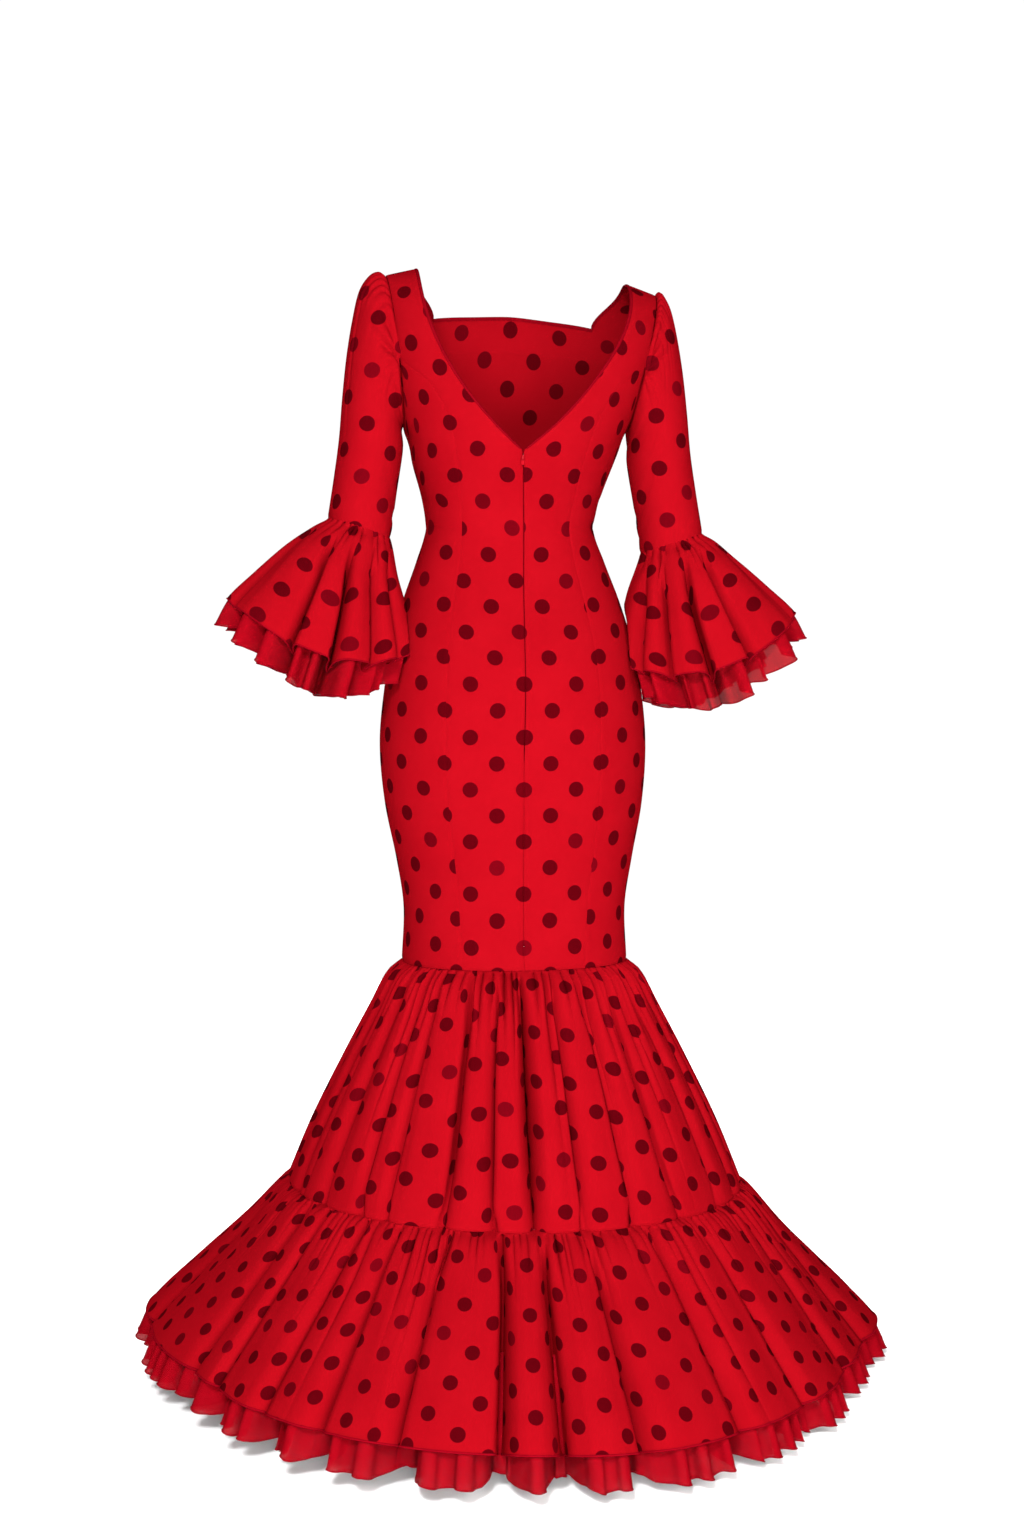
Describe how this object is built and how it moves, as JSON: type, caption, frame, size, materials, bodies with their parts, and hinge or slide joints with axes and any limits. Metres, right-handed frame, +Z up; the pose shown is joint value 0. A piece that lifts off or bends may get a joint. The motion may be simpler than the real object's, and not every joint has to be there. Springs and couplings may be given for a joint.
{
  "type": "flamenco dress",
  "caption": "Worn fitted flamenco dress with a deep V back, bell-flounced three-quarter sleeves, two gathered skirt tiers, organza under-flounces and a back zip.",
  "frame": {"origin": "midway between the two shoulder seams, where the wearer holds the dress up", "axes": "+Z up, the dress's front faces -Y and its back +Y, the wearer's left is +X"},
  "size_m": [0.9915, 1.022, 1.4497],
  "materials": {
    "dress_cloth": "matt woven cloth, red with dark red dots",
    "organza": "crisp crimson organza, slightly see-through",
    "binding": "matt folded strip, deeper red",
    "zip_tape": "matt woven tape",
    "zip_metal": "red enamelled, satin"
  },
  "bodies": {
    "dress": {"back_centre_left": "dress_cloth", "back_centre_right": "dress_cloth", "back_side_left": "dress_cloth", "back_side_right": "dress_cloth", "front_centre": "dress_cloth", "front_side_left": "dress_cloth", "front_side_right": "dress_cloth", "hem_organza_1": "organza", "hem_organza_2": "organza", "hem_organza_3": "organza", "hem_organza_4": "organza", "hem_organza_5": "organza", "hem_organza_6": "organza", "neck_binding": "binding", "skirt_lower_tier_1": "dress_cloth", "skirt_lower_tier_2": "dress_cloth", "skirt_lower_tier_3": "dress_cloth", "skirt_lower_tier_4": "dress_cloth", "skirt_lower_tier_5": "dress_cloth", "skirt_lower_tier_6": "dress_cloth", "skirt_upper_tier_1": "dress_cloth", "skirt_upper_tier_2": "dress_cloth", "skirt_upper_tier_3": "dress_cloth", "skirt_upper_tier_4": "dress_cloth", "sleeve_flounce_left": "dress_cloth", "sleeve_flounce_right": "dress_cloth", "sleeve_left": "dress_cloth", "sleeve_organza_left": "organza", "sleeve_organza_right": "organza", "sleeve_right": "dress_cloth", "zip_slider": "zip_metal", "zip_tape_left": "zip_tape", "zip_tape_right": "zip_tape"},
    "pull_tab": {"zip_pull_tab": "zip_metal"}
  },
  "joints": [
    {"name": "pull_tab_swing", "type": "hinge", "parent": "dress", "child": "pull_tab", "pos_m": [0.01036, 0.10311, -0.2398], "axis": [1, 0, 0], "range_deg": [0, 160]}
  ]
}
